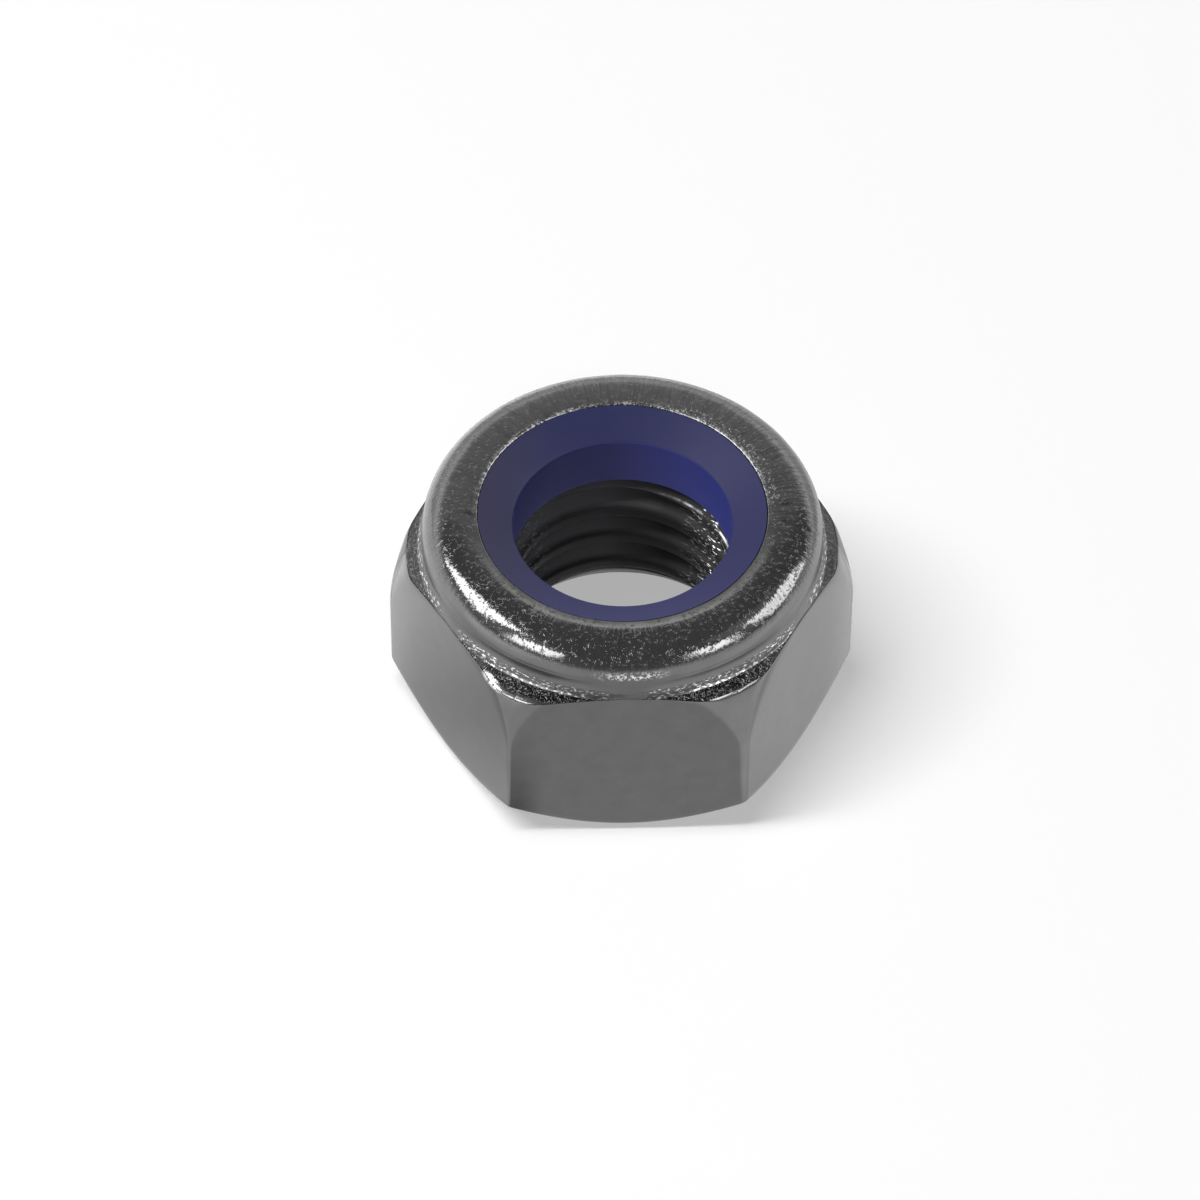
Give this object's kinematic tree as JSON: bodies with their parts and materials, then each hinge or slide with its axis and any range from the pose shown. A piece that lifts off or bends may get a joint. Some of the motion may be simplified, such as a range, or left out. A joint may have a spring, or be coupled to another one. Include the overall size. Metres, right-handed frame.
{
  "type": "nylon insert lock nut",
  "caption": "Hexagon lock nut of dark plated steel: a forged hexagon with a round collar, whose rim is rolled in over a blue nylon ring that grips the screw thread.",
  "frame": {"origin": "centre of the bearing face, where the thread's axis meets it", "axes": "+Z along the thread's axis, from the bearing face towards the nylon ring; two flats face along +Y and -Y, two corners point along +X and -X"},
  "size_m": [0.0148, 0.013, 0.008],
  "materials": {
    "plated_steel": "dark nickel-like plating over cold-forged steel, satin on the flats, brighter on the rolled rim and rough on the forged shelves",
    "blue_nylon": "smooth dark indigo nylon, satin"
  },
  "bodies": {
    "root": {"nut_body": "plated_steel", "nylon_ring": "blue_nylon"}
  },
  "joints": []
}
